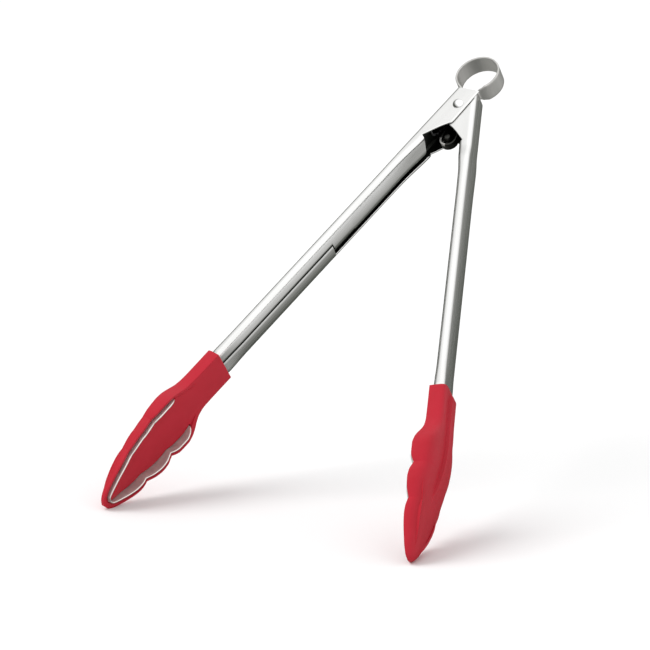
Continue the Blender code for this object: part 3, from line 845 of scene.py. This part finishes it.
def strap_path():
    """Closed strip path in the spread plane with its half width, from the low bend."""
    points = []
    for k in range(17):
        a = -0.5 * math.pi + 0.5 * math.pi * k / 16.0
        points.append((STEM_X * math.cos(a), STEM_LOW + STEM_X * math.sin(a), STEM_HALF))
    points += [(STEM_X, z, STEM_HALF) for z in (-9.0, 0.0, 8.0)]
    start = math.asin((STEM_X + 1.2) / RING_R)
    foot = RING_Z - RING_R * math.cos(start)
    points.append((STEM_X, foot - 1.8, STEM_HALF + 0.2))
    points.append((STEM_X + 0.05, foot - 1.3, STEM_HALF + 0.4))
    points.append((STEM_X + 0.15, foot - 0.9, STEM_HALF + 0.7))
    points.append((STEM_X + 0.5, foot - 0.3, STEM_HALF + 1.3))
    for k in range(97):
        a = start + (math.pi - start) * k / 96
        wide = STEM_HALF + 1.8 + (RING_HALF - STEM_HALF - 1.8) * smooth(k / 10.0)
        points.append((RING_R * math.sin(a), RING_Z - RING_R * math.cos(a), wide))
    return points + [(-x, z, half) for x, z, half in reversed(points[1:-1])]


def pull_ring():
    path = strap_path()
    shape = bmesh.new()
    rings = []
    for i, (x, z, half) in enumerate(path):
        ahead, behind = path[(i + 1) % len(path)], path[i - 1]
        along = Vector((ahead[0] - behind[0], 0.0, ahead[1] - behind[1])).normalized()
        out = Vector((along.z, 0.0, -along.x)) * (0.5 * STRAP_T)
        ring = []
        for side, inset in (
            (0.45, 0.0), (0.8, 0.08), (1.0, 0.3), (1.0, 1.2), (1.0, -1.2), (1.0, -0.3), (0.8, -0.08),
            (0.45, -0.0), (-0.45, -0.0), (-0.8, -0.08), (-1.0, -0.3), (-1.0, -1.2), (-1.0, 1.2),
            (-1.0, 0.3), (-0.8, 0.08), (-0.45, 0.0),
        ):
            front = math.copysign(1.0, inset) > 0.0
            y = -half + inset if front else half + inset
            ring.append((x + side * out.x, y, z + side * out.z))
        rings.append(add_ring(shape, ring))
    for (x, z, _), a, b in zip(path, rings, rings[1:] + rings[:1]):
        for i, face in enumerate(bridge(shape, a, b)):
            # Painted shade: strap faces inside the hinge take the near-black strip copy, while the
            # ring and the listed faces keep the lit strip steel.
            lit = z > 8.5 or (x < 0.0 and z < -12.0 and i not in (3, 4, 11, 12))
            face.material_index = 0 if lit else 1
    looks = [strip_steel, strap_shade_steel]
    return add_piece(
        "strap_ring", shape, "middle", ["pull_ring"], looks, 50.0, "lock_strap"
    )


def spring():
    leg, wire, coil_r = 17.5, 0.5, 3.85
    lean = OPEN_HALF + math.asin((6.6 - coil_r) / leg)
    down_right = Vector((math.sin(lean), 0.0, -math.cos(lean)))
    down_left = Vector((-down_right.x, 0.0, down_right.z))
    last = math.pi - lean + 4.0 * math.pi
    coil = []
    for k in range(121):
        t = k / 120.0
        a = lean + (last - lean) * t
        coil.append(Vector((coil_r * math.cos(a), -5.0 + 2.25 * t, coil_r * math.sin(a))))
    foot = coil[-1] + down_left * leg
    path = [coil[0] + down_right * leg] + coil
    path += [foot - down_left * 2.0, foot - down_left * 0.5 + Vector((0.0, 0.5, 0.0))]
    path.append(foot + Vector((0.0, 1.3, 0.0)))
    path += [Vector((p.x, -p.y, p.z)) for p in reversed(path)]
    shape = bmesh.new()
    rings = []
    normal = None
    for i, point in enumerate(path):
        along = (path[min(i + 1, len(path) - 1)] - path[max(i - 1, 0)]).normalized()
        if normal is None:
            normal = along.cross(Vector((0.0, 1.0, 0.0))).normalized()
        normal = (normal - along * normal.dot(along)).normalized()
        third = along.cross(normal)
        ring = []
        for k in range(14):
            a = 2.0 * math.pi * k / 14
            ring.append(point + wire * (normal * math.cos(a) + third * math.sin(a)))
        rings.append(add_ring(shape, ring))
    for a, b in zip(rings, rings[1:]):
        bridge(shape, a, b)
    shape.faces.new(list(reversed(rings[0])))
    shape.faces.new(rings[-1])
    return add_piece(
        "coil_spring", shape, "middle", ["torsion_spring"], [spring_steel], 50.0,
        "hinge_core",
    )


# ---------------------------------------------------------------- camera and studio


def add_camera():
    data = bpy.data.cameras.new("camera")
    data.lens = 158.44
    data.sensor_width = 36.0
    data.clip_end = 50.0
    made = bpy.data.objects.new("camera", data)
    bpy.context.scene.collection.objects.link(made)
    made.location = (0.64932, -1.15914, 0.38804)
    made.rotation_euler = tuple(math.radians(a) for a in (76.7138, 0.0051, 30.3255))
    bpy.context.scene.camera = made


def sun(name, way, angle, energy):
    data = bpy.data.lights.new(name, "SUN")
    data.angle = math.radians(angle)
    data.energy = energy
    made = bpy.data.objects.new(name, data)
    bpy.context.scene.collection.objects.link(made)
    made.rotation_euler = (-Vector(way)).to_track_quat("-Z", "Y").to_euler()
    made.visible_glossy = False
    return made


def studio():
    floor_shape = bmesh.new()
    rings = []
    for radius in (0.02, 0.6, 1.5, 4.0, 12.0):
        ring = []
        for i in range(64):
            a = 2.0 * math.pi * i / 64
            ring.append(floor_shape.verts.new((radius * math.cos(a), radius * math.sin(a), 0.0)))
        rings.append(ring)
    floor_shape.faces.new(rings[0])
    for a, b in zip(rings, rings[1:]):
        bridge(floor_shape, a, b)
    bmesh.ops.recalc_face_normals(floor_shape, faces=floor_shape.faces)
    mesh = bpy.data.meshes.new("floor")
    floor_shape.to_mesh(mesh)
    floor_shape.free()
    floor = bpy.data.objects.new("floor", mesh)
    bpy.context.scene.collection.objects.link(floor)
    made, nodes, links = new_material("white_floor")
    shader = nodes["Principled BSDF"]
    shader.inputs["Base Color"].default_value = (0.9, 0.9, 0.9, 1.0)
    shader.inputs["Roughness"].default_value = 0.9
    shader.inputs["Specular IOR Level"].default_value = 0.1
    mesh.materials.append(made)
    floor.visible_glossy = False

    sun("key", (-0.58, -0.24, 0.77), 36.0, 1.5)

    world = bpy.data.worlds.new("studio_world")
    bpy.context.scene.world = world
    world.use_nodes = True
    nodes, links = world.node_tree.nodes, world.node_tree.links
    nodes.clear()
    where = nodes.new("ShaderNodeTexCoord")
    lean = nodes.new("ShaderNodeVectorMath")
    lean.operation = "DOT_PRODUCT"
    lean.inputs[1].default_value = (0.30, -0.15, 0.42)
    links.new(where.outputs["Generated"], lean.inputs[0])
    level = nodes.new("ShaderNodeMapRange")
    level.inputs["From Min"].default_value = -0.6
    level.inputs["From Max"].default_value = 0.6
    links.new(lean.outputs["Value"], level.inputs["Value"])
    room = ramp(nodes, links, level.outputs["Result"], (
        (0.067, (0.28, 0.28, 0.265)),
        (0.133, (0.19, 0.195, 0.18)),
        (0.19, (0.08, 0.085, 0.075)),
        (0.25, (0.045, 0.05, 0.042)),
        (0.29, (0.055, 0.06, 0.05)),
        (0.333, (0.075, 0.08, 0.07)),
        (0.37, (0.11, 0.115, 0.105)),
        (0.442, (0.27, 0.27, 0.26)),
        (0.528, (0.48, 0.48, 0.475)),
        (0.583, (0.62, 0.62, 0.62)),
        (0.638, (0.76, 0.76, 0.76)),
        (0.688, (0.80, 0.80, 0.80)),
        (0.76, (0.96, 0.96, 0.96)),
        (0.82, (1.0, 1.0, 1.0)),
    ))
    seen = nodes.new("ShaderNodeLightPath")
    glossy = nodes.new("ShaderNodeBackground")
    glossy.inputs["Strength"].default_value = 1.5
    links.new(room, glossy.inputs["Color"])
    plain = nodes.new("ShaderNodeBackground")
    plain.inputs["Color"].default_value = (1.0, 1.0, 1.0, 1.0)
    plain.inputs["Strength"].default_value = 0.82
    white = nodes.new("ShaderNodeBackground")
    white.inputs["Color"].default_value = (1.0, 1.0, 1.0, 1.0)
    white.inputs["Strength"].default_value = 1.02
    first = nodes.new("ShaderNodeMixShader")
    links.new(seen.outputs["Is Glossy Ray"], first.inputs["Fac"])
    links.new(plain.outputs["Background"], first.inputs[1])
    links.new(glossy.outputs["Background"], first.inputs[2])
    second = nodes.new("ShaderNodeMixShader")
    links.new(seen.outputs["Is Camera Ray"], second.inputs["Fac"])
    links.new(first.outputs["Shader"], second.inputs[1])
    links.new(white.outputs["Background"], second.inputs[2])
    out = nodes.new("ShaderNodeOutputWorld")
    links.new(second.outputs["Shader"], out.inputs["Surface"])
    bpy.context.scene.view_settings.view_transform = "Standard"
    bpy.context.scene.view_settings.look = "None"


# ---------------------------------------------------------------- build

add_camera()
studio()


def left_top(v):
    return -9.0 - 2.4 * (ARM_OUT - v) / 13.0


def right_top(v):
    return -9.0 + 3.6 * ((ARM_OUT - v) / 13.0) ** 2


arm("left", lambda u: ARM_HALF, left_top)
arm("right", lambda u: 6.5 + (ARM_HALF - 6.5) * smooth((u - 27.0) / 10.0), right_top)
for name in ("left", "right"):
    head(name)
    scoop(name)
hinge_rivet()
sleeve_piece(
    "rear_washer", 4.0, 2.4, 7.9, 8.35, 0.08, "rivet_washer", turned_steel, "left_side"
)
sleeve_piece(
    "pivot_bush", 3.05, 2.45, -5.3, 5.3, 0.12, "hinge_bush", turned_steel, "hinge_core"
)
lock_pin()
pull_ring()
spring()

for name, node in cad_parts.items():
    if name.startswith("core_rivet"):
        for i in range(max(1, len(node.material_slots))):
            if node.material_slots:
                node.material_slots[i].material = stud_steel
            else:
                node.data.materials.append(stud_steel)
